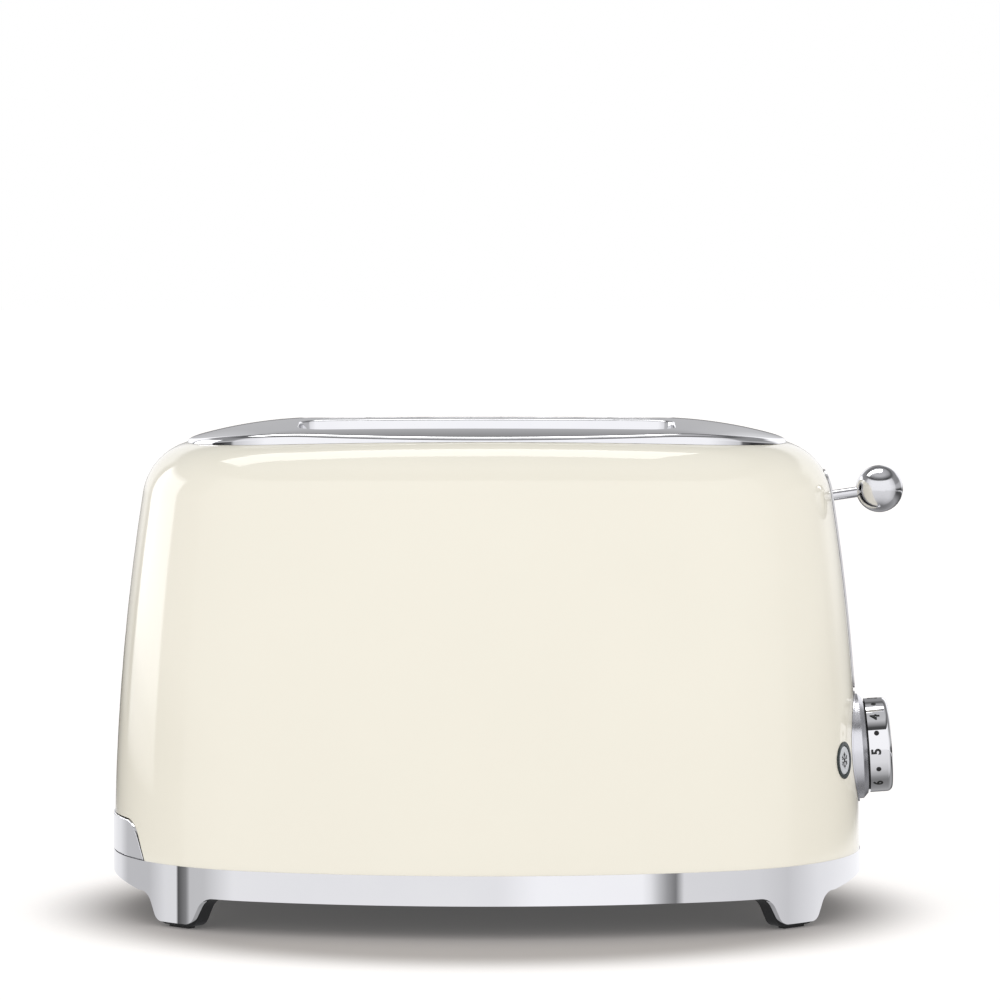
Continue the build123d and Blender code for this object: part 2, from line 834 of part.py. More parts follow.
with BuildPart() as carriage:
    with BuildSketch(end_plane(yoke_x)):
        with Locations((0, (yoke_bottom + slider_top) / 2)):
            Rectangle(2 * yoke_half_width, slider_top - yoke_bottom)
    extrude(amount=yoke_sheet)
    with BuildSketch(level(slider_bottom)):
        with Locations((slider_x + slider_depth / 2, 0)):
            Rectangle(slider_depth, 2 * slider_half_width)
        with Locations((rod_x, -rod_y), (rod_x, rod_y)):
            Circle(rod_radius + rod_fit, mode=Mode.SUBTRACT)
    extrude(amount=slider_top - slider_bottom)
    lug_end = spring_x + lug_half_width
    lug_start = slider_x + slider_depth
    with BuildSketch(level(slider_bottom)):
        with Locations(((lug_start + lug_end) / 2, spring_y)):
            Rectangle(lug_end - lug_start, 2 * lug_half_width)
    extrude(amount=lug_height)
    with BuildSketch(lever_plane(grip_back)):
        Circle(lever_radius)
    extrude(amount=ball_x, mode=Mode.SUBTRACT)
keep(carriage.part, "carriage")

# Bread racks with cross fingers
for name, side in (("front", -1), ("rear", 1)):
    rack_start = -outer_x - slot_play
    with BuildPart() as bread_rack:
        with BuildSketch(level(rack_top - rack_height)):
            with Locations(((rack_start + yoke_x) / 2, side * slot_y)):
                Rectangle(yoke_x - rack_start, rack_sheet)
        extrude(amount=rack_height)
        with BuildSketch(level(rack_top - finger_width)):
            with Locations((0, side * slot_y)):
                with GridLocations(finger_pitch, 1, finger_count, 1):
                    Rectangle(finger_width, finger_length)
        extrude(amount=finger_width)
    keep(bread_rack.part, f"{name}_bread_rack")

# Lever rod and ball
with BuildPart() as lever_rod:
    with BuildSketch(lever_plane(grip_back)):
        Circle(lever_radius)
    extrude(amount=-grip_back - ball_radius / 2)
keep(lever_rod.part, "lever_rod")

with BuildPart() as lever_ball:
    with Locations((body_x + ball_x, 0, ball_z)):
        Sphere(ball_radius)
    with BuildSketch(lever_plane(-2 * ball_radius)):
        Circle(lever_radius)
    extrude(amount=1.5 * ball_radius, mode=Mode.SUBTRACT)
keep(lever_ball.part, "lever_ball")

# Lift spring from the upper shelf to the carriage's lug
spring_low = slider_bottom + lug_height + spring_wire + slide_fit
spring_high = upper_shelf - spring_wire - slide_fit
spring_base = Location((body_x + spring_x, spring_y, spring_low))
coil_line = Helix(spring_pitch, spring_high - spring_low, spring_radius).moved(spring_base)

with BuildPart() as lift_spring:
    with BuildLine():
        add(coil_line)
    with BuildSketch(Plane(origin=coil_line @ 0, z_dir=coil_line % 0)):
        Circle(spring_wire)
    sweep(is_frenet=True)
keep(lift_spring.part, "lift_spring")

# Holding magnet under the carriage
shelf_top = lower_shelf + shelf_sheet
with BuildPart() as magnet_core:
    with BuildSketch(level(shelf_top)):
        with Locations((magnet_x, 0)):
            Rectangle(core_depth, 2 * core_half_width)
    extrude(amount=core_leg)
    with BuildSketch(level(shelf_top)):
        leg = core_half_width - core_leg / 2
        with Locations((magnet_x, -leg), (magnet_x, leg)):
            Rectangle(core_depth, core_leg)
        with Locations((magnet_x, 0)):
            Rectangle(core_depth, 2 * core_leg)
    extrude(amount=pole_level - shelf_top)
keep(magnet_core.part, "magnet_core")

with BuildPart() as magnet_coil:
    with BuildSketch(level(shelf_top + core_leg)):
        with Locations((magnet_x, 0)):
            RectangleRounded(coil_depth, coil_width, (coil_depth - core_depth) / 2)
            Rectangle(core_depth, 2 * core_leg, mode=Mode.SUBTRACT)
    extrude(amount=coil_height)
keep(magnet_coil.part, "magnet_coil")

with BuildPart() as armature_plate:
    with BuildSketch(level(slider_bottom - armature_sheet)):
        with Locations((magnet_x, 0)):
            Rectangle(core_depth, 2 * armature_half_width)
    extrude(amount=armature_sheet)
keep(armature_plate.part, "armature_plate")

# Trim round the lever slot: a flange on the body and a liner through it
with BuildPart() as trim_flange:
    with BuildSketch(end_plane(chamber_x)):
        add(lever_slot(trim_width))
    extrude(amount=body_length / 2)
    add(trim_form, mode=Mode.INTERSECT)
    add(seat_form, mode=Mode.SUBTRACT)

with BuildPart() as lever_slot_trim:
    with BuildSketch(end_plane(chamber_x)):
        add(lever_slot(-seat_gap))
    extrude(amount=body_length / 2)
    add(trim_form, mode=Mode.INTERSECT)
    add(body_form(-2 * body_wall), mode=Mode.SUBTRACT)
    add(trim_flange.part)
    with BuildSketch(end_plane(chamber_x)):
        add(lever_slot(-trim_liner))
    extrude(amount=body_length / 2, mode=Mode.SUBTRACT)
keep(lever_slot_trim.part, "lever_slot_trim")

# Browning dial: collar on the body, dark gap ring, knob and shaft
with BuildPart() as collar_foot:
    with BuildSketch(dial_plane(-2 * spigot_depth)):
        Circle(collar_flange_radius)
    extrude(amount=4 * spigot_depth)
    add(body_form(seat_gap + collar_flange), mode=Mode.INTERSECT)

with BuildPart() as dial_collar:
    with BuildSketch(dial_plane(-2 * spigot_depth)):
        Circle(collar_radius)
    extrude(amount=2 * spigot_depth + collar_front)
    chamfer(dial_collar.edges().filter_by(GeomType.CIRCLE).sort_by(Axis.X)[-1], collar_bevel)
    add(collar_foot.part)
    add(seat_form, mode=Mode.SUBTRACT)
    with BuildSketch(dial_plane(-spigot_depth)):
        Circle(spigot_radius)
    extrude(amount=spigot_depth + collar_front / 2)
    with BuildSketch(dial_plane(-2 * spigot_depth)):
        Circle(shaft_radius + shaft_fit)
    extrude(amount=4 * spigot_depth, mode=Mode.SUBTRACT)
keep(dial_collar.part, "dial_collar")

with BuildPart() as dial_gap_ring:
    with BuildSketch(dial_plane(collar_front)):
        Circle(gap_ring_radius)
        Circle(shaft_radius + fit, mode=Mode.SUBTRACT)
    extrude(amount=gap_ring)
keep(dial_gap_ring.part, "dial_gap_ring")

with BuildPart() as dial_knob:
    with BuildSketch(dial_plane(knob_back)):
        Circle(knob_radius)
    extrude(amount=knob_length)
    fillet(dial_knob.edges().filter_by(GeomType.CIRCLE).sort_by(Axis.X)[-1], knob_round)
    with BuildSketch(dial_plane(knob_back + knob_length - knob_dish)):
        Circle(knob_dish_radius)
    extrude(amount=knob_dish, mode=Mode.SUBTRACT)
    with BuildSketch(dial_plane(knob_back)):
        Circle(shaft_radius)
    extrude(amount=knob_socket, mode=Mode.SUBTRACT)
keep(dial_knob.part, "dial_knob")

with BuildPart() as dial_shaft:
    with BuildSketch(dial_plane(slide_fit - control_front)):
        Circle(shaft_radius)
    extrude(amount=control_front - slide_fit + knob_back + knob_socket)
keep(dial_shaft.part, "dial_shaft")

# Browning control on its circuit board
with BuildPart() as browning_control:
    with BuildSketch(dial_plane(-control_front - control_depth)):
        RectangleRounded(control_width, control_width, control_width / 8)
    extrude(amount=control_depth)
keep(browning_control.part, "browning_control")

with BuildPart() as control_board:
    with BuildSketch(dial_plane(-circuit_back)):
        with Locations((0, circuit_height / 2 - circuit_below)):
            Rectangle(circuit_width, circuit_height)
    extrude(amount=circuit_sheet)
keep(control_board.part, "control_board")

# Push buttons in their bezels, each with a switch behind it
for name, side in (("defrost", -1), ("reheat", 1)):
    with BuildPart() as bezel:
        with BuildSketch(button_plane(side, -bezel_depth / 2)):
            Circle(bezel_radius)
        extrude(amount=bezel_depth / 2 + bezel_proud)
        fillet(bezel.edges().filter_by(GeomType.CIRCLE).sort_by(Axis.X)[-1], bezel_proud / 3)
        add(seat_form, mode=Mode.SUBTRACT)
        with BuildSketch(button_plane(side, -bezel_depth)):
            Circle(sleeve_radius)
        extrude(amount=bezel_depth + bezel_proud / 2)
        with BuildSketch(button_plane(side, -bezel_depth)):
            Circle(cap_radius + slide_fit)
        extrude(amount=2 * bezel_depth, mode=Mode.SUBTRACT)
    keep(bezel.part, f"{name}_bezel")
    with BuildPart() as button:
        with BuildSketch(button_plane(side, -cap_depth)):
            Circle(cap_radius)
        extrude(amount=cap_depth + cap_proud)
        fillet(button.edges().filter_by(GeomType.CIRCLE).sort_by(Axis.X)[-1], cap_round)
        with BuildSketch(button_plane(side, -stem_depth)):
            Circle(stem_radius)
        extrude(amount=stem_depth - cap_depth)
    keep(button.part, f"{name}_button")
    with BuildPart() as switch:
        with BuildSketch(button_plane(side, -switch_depth)):
            Circle(sleeve_radius)
        extrude(amount=switch_depth - bezel_depth)
        with BuildSketch(button_plane(side, -stem_depth - button_travel - fit)):
            Circle(stem_radius + fit)
        extrude(amount=stem_depth, mode=Mode.SUBTRACT)
    keep(switch.part, f"{name}_switch")
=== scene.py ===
"""Dresses a pop up toaster: enamelled body, chrome top, ring, lever and dial, with its inner works."""

import json
import logging
import math
from dataclasses import dataclass
from enum import Enum
from typing import Any, Callable, Dict, List, Optional, Sequence, Tuple

import bpy
from mathutils import Matrix, Vector


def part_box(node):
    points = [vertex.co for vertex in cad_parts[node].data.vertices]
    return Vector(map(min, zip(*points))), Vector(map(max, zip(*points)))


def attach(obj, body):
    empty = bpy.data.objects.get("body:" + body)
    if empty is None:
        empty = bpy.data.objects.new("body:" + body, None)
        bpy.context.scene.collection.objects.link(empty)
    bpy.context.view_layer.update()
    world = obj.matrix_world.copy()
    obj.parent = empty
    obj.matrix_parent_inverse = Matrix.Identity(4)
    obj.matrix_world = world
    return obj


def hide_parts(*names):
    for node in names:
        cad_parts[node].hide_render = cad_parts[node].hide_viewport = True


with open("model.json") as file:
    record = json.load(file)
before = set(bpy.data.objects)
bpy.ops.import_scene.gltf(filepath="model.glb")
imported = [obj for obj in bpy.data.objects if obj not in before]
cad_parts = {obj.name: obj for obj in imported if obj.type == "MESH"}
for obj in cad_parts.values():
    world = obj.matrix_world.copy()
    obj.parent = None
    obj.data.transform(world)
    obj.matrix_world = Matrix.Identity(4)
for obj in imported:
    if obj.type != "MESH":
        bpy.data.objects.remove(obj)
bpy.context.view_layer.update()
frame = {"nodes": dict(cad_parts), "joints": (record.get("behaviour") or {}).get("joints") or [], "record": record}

LOG = logging.getLogger("toaster")
MM = 0.001
NODES: Dict[str, bpy.types.Object] = frame["nodes"]
BODY_OF: Dict[str, str] = {n: b for b, ns in frame["record"]["behaviour"]["bodies"].items() for n in ns}
JOINTS: Dict[str, Dict[str, Any]] = {j["name"]: j for j in frame["joints"]}
# Points nearer than this are one, and edges sharper than this many degrees stay sharp.
MERGE = 2e-6
SHARP = 32.0
Colour = Tuple[float, float, float, float]
NormalRule = Callable[[Vector], Vector]


class Pattern(Enum):
    """How a surface's fine relief runs."""

    SPECKLE = "speckle"
    TURNED = "turned"
    LAYERS = "layers"
    FLAKES = "flakes"


def linear(code: str) -> Colour:
    """Turn an sRGB hex colour into linear values.

    Args:
        code: Six hex digits.

    Returns:
        Linear red, green, blue and an alpha of 1.
    """
    parts = [int(code[i:i + 2], 16) / 255 for i in (0, 2, 4)]
    flat = [c / 12.92 if c <= 0.04045 else ((c + 0.055) / 1.055) ** 2.4 for c in parts]
    return (flat[0], flat[1], flat[2], 1.0)


def add_node(tree: bpy.types.NodeTree, kind: str, links: Optional[Dict[Any, Any]] = None,
             stops: Sequence[Tuple[float, Colour]] = (), **settings: Any) -> Any:
    """Add one node with its settings and its incoming links.

    Args:
        tree: Node tree that gets the node.
        kind: Node type name.
        links: Input name or index to a value or to an output socket.
        stops: Place and colour of each stop, in order, where the node has a colour ramp.
        settings: Attributes set on the node itself.

    Returns:
        The new node.
    """
    node = tree.nodes.new(kind)
    for key, value in settings.items():
        setattr(node, key, value)
    for key, value in (links or {}).items():
        if isinstance(value, bpy.types.NodeSocket):
            tree.links.new(value, node.inputs[key])
        else:
            node.inputs[key].default_value = value
    for _ in stops[2:]:
        node.color_ramp.elements.new(0.5)
    for number, (place, colour) in enumerate(stops):
        node.color_ramp.elements[number].position = place
        node.color_ramp.elements[number].color = colour
    return node


def grey_ramp(tree: bpy.types.NodeTree, value: Any, stops: Sequence[Tuple[float, float]]) -> Any:
    """Add a ramp of greys.

    Args:
        tree: Node tree that gets it.
        value: Socket that runs along it from 0 to 1.
        stops: Place and brightness of each stop, in order.

    Returns:
        Socket with the brightness.
    """
    greys = [(place, (level, level, level, 1.0)) for place, level in stops]
    return add_node(tree, "ShaderNodeValToRGB", {"Fac": value}, greys).outputs["Color"]


def compass_ramp(tree: bpy.types.NodeTree, compass: Any, stops: Sequence[Tuple[float, float]]) -> Any:
    """Add a ramp of greys round the compass, with the camera at 0 degrees.

    Args:
        tree: Node tree that gets it.
        compass: Socket that runs from 0 to 1 once round, with the camera in its middle.
        stops: Angle in degrees and brightness of each stop, in order.

    Returns:
        Socket with the brightness.
    """
    return grey_ramp(tree, compass, [(0.5 + degrees / 360, level) for degrees, level in stops])


def mixed(tree: bpy.types.NodeTree, share: Any, first: Any, second: Any) -> Any:
    """Add a mix of two colours.

    Args:
        tree: Node tree that gets it.
        share: Socket with the second colour's share.
        first: Colour or socket where the share is 0.
        second: Colour or socket where the share is 1.

    Returns:
        Socket with the mixed colour.
    """
    return add_node(tree, "ShaderNodeMix", {"Factor": share, "A": first, "B": second},
                    data_type="RGBA").outputs["Result"]


def product(tree: bpy.types.NodeTree, first: Any, second: Any) -> Any:
    """Multiply two sockets or values, and return the socket with the product."""
    return add_node(tree, "ShaderNodeMath", {0: first, 1: second}, operation="MULTIPLY").outputs[0]


@dataclass(frozen=True)
class Finish:
    """A real surface: its colours, its gloss and the fine relief that its making left."""

    name: str
    colour: str
    second: str
    metallic: float = 0.0
    rough_low: float = 0.3
    rough_high: float = 0.4
    grain_mm: float = 1.0
    relief_mm: float = 0.0
    patch_mm: float = 20.0
    pattern: Pattern = Pattern.SPECKLE
    centre: Tuple[float, float, float] = (0.0, 0.0, 0.0)
    tilt: float = 0.0

    def grain(self, tree: bpy.types.NodeTree, place: Any) -> Any:
        """Add the fine pattern's nodes.

        Args:
            tree: Node tree that gets them.
            place: Socket with the place on the piece, in metres.

        Returns:
            The pattern's value socket.
        """
        scale = 1 / (self.grain_mm * MM)
        if self.pattern is Pattern.TURNED:
            node = add_node(tree, "ShaderNodeTexWave", {
                "Vector": place, "Scale": scale / math.tau, "Distortion": 0.6, "Detail": 2.0,
                "Detail Scale": 0.4}, wave_type="RINGS", rings_direction="X")
        elif self.pattern is Pattern.LAYERS:
            node = add_node(tree, "ShaderNodeTexWave", {
                "Vector": place, "Scale": scale / math.tau, "Distortion": 0.3, "Detail": 1.0},
                wave_type="BANDS", bands_direction="Z")
        elif self.pattern is Pattern.FLAKES:
            node = add_node(tree, "ShaderNodeTexVoronoi", {"Vector": place, "Scale": scale})
            return node.outputs["Distance"]
        else:
            node = add_node(tree, "ShaderNodeTexNoise", {"Vector": place, "Scale": scale, "Detail": 2.0})
        return node.outputs["Fac"]

    def material(self) -> bpy.types.Material:
        """Make the finish's material, or return the one already made.

        Returns:
            The node material.
        """
        made = bpy.data.materials.get(self.name)
        if made:
            return made
        made = bpy.data.materials.new(self.name)
        made.use_nodes = True
        tree = made.node_tree
        tree.nodes.clear()
        where = add_node(tree, "ShaderNodeTexCoord")
        place = add_node(tree, "ShaderNodeMapping", {
            "Vector": where.outputs["Object"], "Location": self.centre,
            "Rotation": (0.0, -math.radians(self.tilt), 0.0)}, vector_type="TEXTURE").outputs["Vector"]
        patches = add_node(tree, "ShaderNodeTexNoise", {
            "Vector": place, "Scale": 1 / (self.patch_mm * MM), "Detail": 3.0})
        grain = self.grain(tree, place)
        tint = add_node(tree, "ShaderNodeValToRGB", {"Fac": patches.outputs["Fac"]}, [
            (0.35, linear(self.colour)), (0.65, linear(self.second))])
        gloss = add_node(tree, "ShaderNodeMapRange", {
            "Value": grain, "From Min": 0.25, "From Max": 0.75,
            "To Min": self.rough_low, "To Max": self.rough_high})
        shader = add_node(tree, "ShaderNodeBsdfPrincipled", {
            "Base Color": tint.outputs["Color"], "Roughness": gloss.outputs["Result"],
            "Metallic": self.metallic})
        if self.relief_mm:
            relief = add_node(tree, "ShaderNodeBump", {
                "Height": grain, "Strength": 1.0, "Distance": self.relief_mm * MM})
            tree.links.new(relief.outputs["Normal"], shader.inputs["Normal"])
        add_node(tree, "ShaderNodeOutputMaterial", {"Surface": shader.outputs["BSDF"]})
        return made


# The dial's axis: a point on it in metres, its direction and its tilt in degrees.
DIAL_POINT = Vector(JOINTS["dial_turn"]["pos_m"])
DIAL_WAY = Vector(JOINTS["dial_turn"]["axis"]).normalized()
DIAL_TILT = math.degrees(math.asin(DIAL_WAY.z))

# Stoved enamel on steel: even cream, deep wet gloss, a trace of orange peel.
ENAMEL = Finish("stoved_cream_enamel", "F4F0E2", "F3EFE1", rough_low=0.012, rough_high=0.02, grain_mm=2.2,
                relief_mm=0.0004, patch_mm=60)
# Polished chrome plate: near mirror, the faintest haze from wiping.
CHROME = Finish("polished_chrome_plate", "F4F4F5", "F1F1F3", metallic=1.0, rough_low=0.015, rough_high=0.03,
                grain_mm=6, patch_mm=40)
# Chrome on a small cast ball: the same plate over a less even polish, so its reflections are soft.
BALL_CHROME = Finish("polished_chrome_on_casting", "E9E9EB", "E4E4E6", metallic=1.0, rough_low=0.1,
                     rough_high=0.15, grain_mm=4, patch_mm=12)
# Turned and satin plated metal: fine circular lines that soften the reflection.
SATIN = Finish("satin_turned_zinc_alloy", "E9E9ED", "E4E4E8", metallic=1.0, rough_low=0.24, rough_high=0.3,
               grain_mm=0.5, relief_mm=0.002, patch_mm=15, pattern=Pattern.TURNED,
               centre=tuple(DIAL_POINT), tilt=DIAL_TILT)
# Satin plated pressing without turning lines.
PLATED = Finish("satin_plated_pressing", "E2E2E3", "DCDCDE", metallic=1.0, rough_low=0.3, rough_high=0.4,
                grain_mm=0.8, patch_mm=12)
# Spark-eroded black ABS: dull, with a fine pebble grain.
BLACK_ABS = Finish("moulded_black_abs", "0E0F10", "131415", rough_low=0.42, rough_high=0.58, grain_mm=0.5,
                   relief_mm=0.02, patch_mm=18)
# Gloss moulded bezel plastic, dark with a green cast.
DARK_ABS = Finish("gloss_dark_abs", "232D2C", "2A3433", rough_low=0.2, rough_high=0.28, grain_mm=1.2,
                  patch_mm=6)
# Pale grey button moulding, lightly polished.
PALE_ABS = Finish("pale_grey_abs", "D3D6DA", "CDD0D4", rough_low=0.25, rough_high=0.33, grain_mm=0.8,
                  patch_mm=5)
# Soft black pad rubber: no gloss, dusty grain.
RUBBER = Finish("soft_pad_rubber", "141414", "1C1B1B", rough_low=0.7, rough_high=0.85, grain_mm=0.6,
                relief_mm=0.03, patch_mm=5)
# Zinc plated sheet: dull silver with cloudy crystals.
ZINC = Finish("zinc_plated_sheet", "A9ACAE", "95989B", metallic=1.0, rough_low=0.28, rough_high=0.45,
              grain_mm=3, relief_mm=0.004, patch_mm=9, pattern=Pattern.FLAKES)
# Bright drawn wire and bar.
BRIGHT = Finish("bright_drawn_steel", "C3C5C6", "B6B8BA", metallic=1.0, rough_low=0.18, rough_high=0.28,
                grain_mm=0.7, patch_mm=8)
# Oil-tempered spring wire: dark grey, half gloss.
SPRING = Finish("tempered_spring_wire", "5A5C60", "4B4D51", metallic=1.0, rough_low=0.3, rough_high=0.4,
                grain_mm=0.6, patch_mm=4)
# Pressed mica board: tan flakes that catch the light one by one.
MICA = Finish("pressed_mica_board", "C9B894", "B39F78", rough_low=0.3, rough_high=0.6, grain_mm=5,
              relief_mm=0.03, patch_mm=14, pattern=Pattern.FLAKES)
# Heater alloy ribbon, oxidised by use: brown grey with straw tints.
HEATER = Finish("oxidised_heater_ribbon", "6E645B", "8A7A66", metallic=1.0, rough_low=0.35, rough_high=0.5,
                grain_mm=1.5, patch_mm=25)
# Stacked iron laminations: fine lines one sheet apart.
IRON = Finish("laminated_iron", "5B5C5F", "4C4D50", metallic=1.0, rough_low=0.4, rough_high=0.55,
              grain_mm=0.5, relief_mm=0.05, patch_mm=8, pattern=Pattern.LAYERS)
# Lacquered copper winding: turns lying side by side.
COPPER = Finish("lacquered_copper_winding", "B4622F", "A2521F", metallic=1.0, rough_low=0.25, rough_high=0.35,
                grain_mm=0.4, relief_mm=0.15, patch_mm=6, pattern=Pattern.LAYERS)
# Solder mask over woven glass board.
BOARD = Finish("green_solder_mask", "1F5A36", "1B5131", rough_low=0.25, rough_high=0.35, grain_mm=1.0,
               relief_mm=0.01, patch_mm=8)
# Natural nylon moulding.
NYLON = Finish("natural_nylon", "E3DFD3", "DAD5C7", rough_low=0.4, rough_high=0.5, grain_mm=0.8, patch_mm=6)
# Pad printed black ink.
INK = Finish("black_print_ink", "0E0F10", "141516", rough_low=0.4, rough_high=0.5, grain_mm=0.4, patch_mm=2)


@dataclass
class OvalForm:
    """The body's form: an oval of four arcs, bowed sides, a round shoulder and a crowned top, in metres."""

    centre_x: float = -8.575 * MM
    half_length: float = 152.9 * MM
    half_depth: float = 97.5 * MM
    side_radius: float = 297.0 * MM
    bow: float = 1000.0 * MM
    belly: float = 16.0 * MM
    crest: float = 196.4 * MM
    crown: float = 1800.0 * MM
    shoulder: float = 25.0 * MM
    roof_crest: float = 201.6 * MM
    roof_length: float = 140.0 * MM
    roof_radius: float = 6000.0 * MM
    roof_end: float = 190.0 * MM
    roof_cross: float = 540.0 * MM
    plate_inset: float = 30.4 * MM
    plate_round: float = 2.5 * MM

    def arc(self, place: Vector) -> Tuple[Vector, Vector, float]:
        """Find the plan arc that a place belongs to.

        Args:
            place: A point in the row frame.

        Returns:
            Arc centre and outward direction in plan, both centred on the body, and the arc's radius.
        """
        a, b, r = self.half_length, self.half_depth, self.side_radius
        end = (2 * r * b - b * b - a * a) / (2 * (r - a))
        spot = Vector((place.x - self.centre_x, place.y))
        reach = abs(spot.x) - (a - end)
        if reach > 0 and math.atan2(abs(spot.y), reach) <= math.pi / 2 - math.atan2(a - end, r - b):
            centre, radius = Vector((math.copysign(a - end, spot.x), 0)), end
        else:
            centre, radius = Vector((0, -math.copysign(r - b, spot.y))), r
        return centre, (spot - centre).normalized(), radius

    def inset(self, place: Vector) -> float:
        """Measure how far in from the oval a place lies in plan."""
        centre, _, radius = self.arc(place)
        return radius - (Vector((place.x - self.centre_x, place.y)) - centre).length

    def wall_normal(self, place: Vector) -> Vector:
        """Outward direction of an upright wall on the oval, or on any offset of it."""
        return self.arc(place)[1].to_3d()

    def skin_normal(self, place: Vector) -> Vector:
        """Find the direction square to the body's skin, or to any offset of it.

        Args:
            place: A point on the skin.

        Returns:
            The outward normal.
        """
        centre, way, radius = self.arc(place)
        inset = self.inset(place)
        # The shoulder's rolling ball rests on the bowed side and on the crown: a few rounds find its centre.
        ball_z = self.crest - self.shoulder
        for _ in range(5):
            ball_in = self.bow - math.sqrt((self.bow - self.shoulder) ** 2 - (ball_z - self.belly) ** 2)
            ball_x = centre.x + way.x * (radius - ball_in)
            ball_z = self.crest - self.crown + math.sqrt((self.crown - self.shoulder) ** 2 - ball_x ** 2)
        slope = way.x * ball_x / math.sqrt(self.crown ** 2 - ball_x ** 2)
        low = math.atan2(ball_z - self.belly, self.bow - ball_in)
        high = math.atan2(1.0, slope)
        here = math.atan2(place.z - ball_z, ball_in - inset)
        if place.z < ball_z or here < low:
            flat, rise = self.bow - inset, place.z - self.belly
        elif here > high:
            return Vector((place.x - self.centre_x, 0, place.z - self.crest + self.crown)).normalized()
        else:
            flat, rise = ball_in - inset, place.z - ball_z
        return Vector((way.x * flat, way.y * flat, rise)).normalized()

    def dome_normal(self, place: Vector) -> Vector:
        """Find the direction square to the top plate's dome.

        Args:
            place: A point on the dome.

        Returns:
            The outward normal.
        """
        radius = self.roof_radius
        x = place.x - self.centre_x
        z = place.z - self.roof_crest + radius
        sway = math.asin(self.roof_length / 2 / radius)
        if abs(math.atan2(x, z)) > sway:
            x -= math.copysign((radius - self.roof_end) * math.sin(sway), x)
            z -= (radius - self.roof_end) * math.cos(sway)
            radius = self.roof_end
        length = math.hypot(x, z)
        lift = (length - radius + self.roof_cross) / length
        return Vector((x * lift, place.y, z * lift)).normalized()

    def plate_normal(self, place: Vector) -> Vector:
        """Find the direction square to the top plate's outside: its dome, rolled edge or rim.

        Args:
            place: A point on the plate.

        Returns:
            The outward normal.
        """
        out, dome = self.wall_normal(place), self.dome_normal(place)
        lean = dome.dot(out)
        edge = self.plate_inset + self.plate_round - self.inset(place)
        roll = max(lean, min(edge / self.plate_round, 1.0))
        return out * roll + (dome - out * lean).normalized() * math.sqrt(1 - roll * roll)


def round_bar(point: Vector, way: Vector) -> NormalRule:
    """Make the normal rule of a round bar.

    Args:
        point: A point on its axis.
        way: Its axis as a unit vector.

    Returns:
        A function from a place on it to the outward direction.
    """
    def rule(place: Vector) -> Vector:
        """Direction square to the bar's axis."""
        arm = place - point
        return (arm - way * arm.dot(way)).normalized()
    return rule


def ball(centre: Vector) -> NormalRule:
    """Make the normal rule of a ball.

    Args:
        centre: Its centre.

    Returns:
        A function from a place on it to the outward direction.
    """
    def rule(place: Vector) -> Vector:
        """Direction away from the ball's centre."""
        return (place - centre).normalized()
    return rule


def select_only(obj: bpy.types.Object) -> None:
    """Deselect everything, then select one object and make it active."""
    bpy.ops.object.select_all(action="DESELECT")
    obj.select_set(True)
    bpy.context.view_layer.objects.active = obj


def paint(obj: bpy.types.Object, finish: Finish) -> None:
    """Give an object one finish all over."""
    obj.data.materials.clear()
    obj.data.materials.append(finish.material())
    LOG.info("%s is finished in %s", obj.name, finish.name)


def join(pieces: Sequence[bpy.types.Object]) -> bpy.types.Object:
    """Join several pieces into the first of them.

    Args:
        pieces: The pieces.

    Returns:
        The joined piece, selected and active.
    """
    bpy.ops.object.select_all(action="DESELECT")
    for piece in pieces:
        piece.select_set(True)
    bpy.context.view_layer.objects.active = pieces[0]
    bpy.ops.object.join()
    return pieces[0]


def settle(obj: bpy.types.Object, name: str, finish: Finish, body: str) -> None:
    """Name a finished piece, put its place in its mesh, paint it and let it ride.

    Args:
        obj: The piece.
        name: Its plain name.
        finish: Its surface.
        body: The body it moves with.
    """
    select_only(obj)
    bpy.ops.object.transform_apply(location=True, rotation=True, scale=True)
    obj.name = name
    obj.data.name = name
    paint(obj, finish)
    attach(obj, body)
    LOG.info("%s rides on %s", name, body)


def smooth_copy(node: str, finish: Finish, rules: Sequence[NormalRule] = (), near: float = 0.985) -> None:
    """Stand a merged, smoothly shaded copy in for a CAD node.

    Args:
        node: The node's name.
        finish: Its surface.
        rules: True surface directions, tried in order for each corner that nearly agrees.
        near: How well a face must agree with a rule, as a cosine.
    """
    copy = bpy.data.objects.new(f"{node}_skin", NODES[node].data.copy())
    bpy.context.scene.collection.objects.link(copy)
    select_only(copy)
    bpy.ops.object.mode_set(mode="EDIT")
    bpy.ops.mesh.select_all(action="SELECT")
    bpy.ops.mesh.customdata_custom_splitnormals_clear()
    bpy.ops.mesh.remove_doubles(threshold=MERGE)
    bpy.ops.object.mode_set(mode="OBJECT")
    bpy.ops.object.shade_smooth_by_angle(angle=math.radians(SHARP))
    mesh = copy.data
    if rules:
        normals = [Vector(c.vector) for c in mesh.corner_normals]
        for face in mesh.polygons:
            for loop in face.loop_indices:
                place = mesh.vertices[mesh.loops[loop].vertex_index].co
                for rule in rules:
                    true = rule(place)
                    agree = true.dot(face.normal)
                    if abs(agree) > near:
                        normals[loop] = true * math.copysign(1, agree)
                        break
        mesh.normals_split_custom_set([tuple(n) for n in normals])
    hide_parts(node)
    settle(copy, f"{node}_skin", finish, BODY_OF[node])


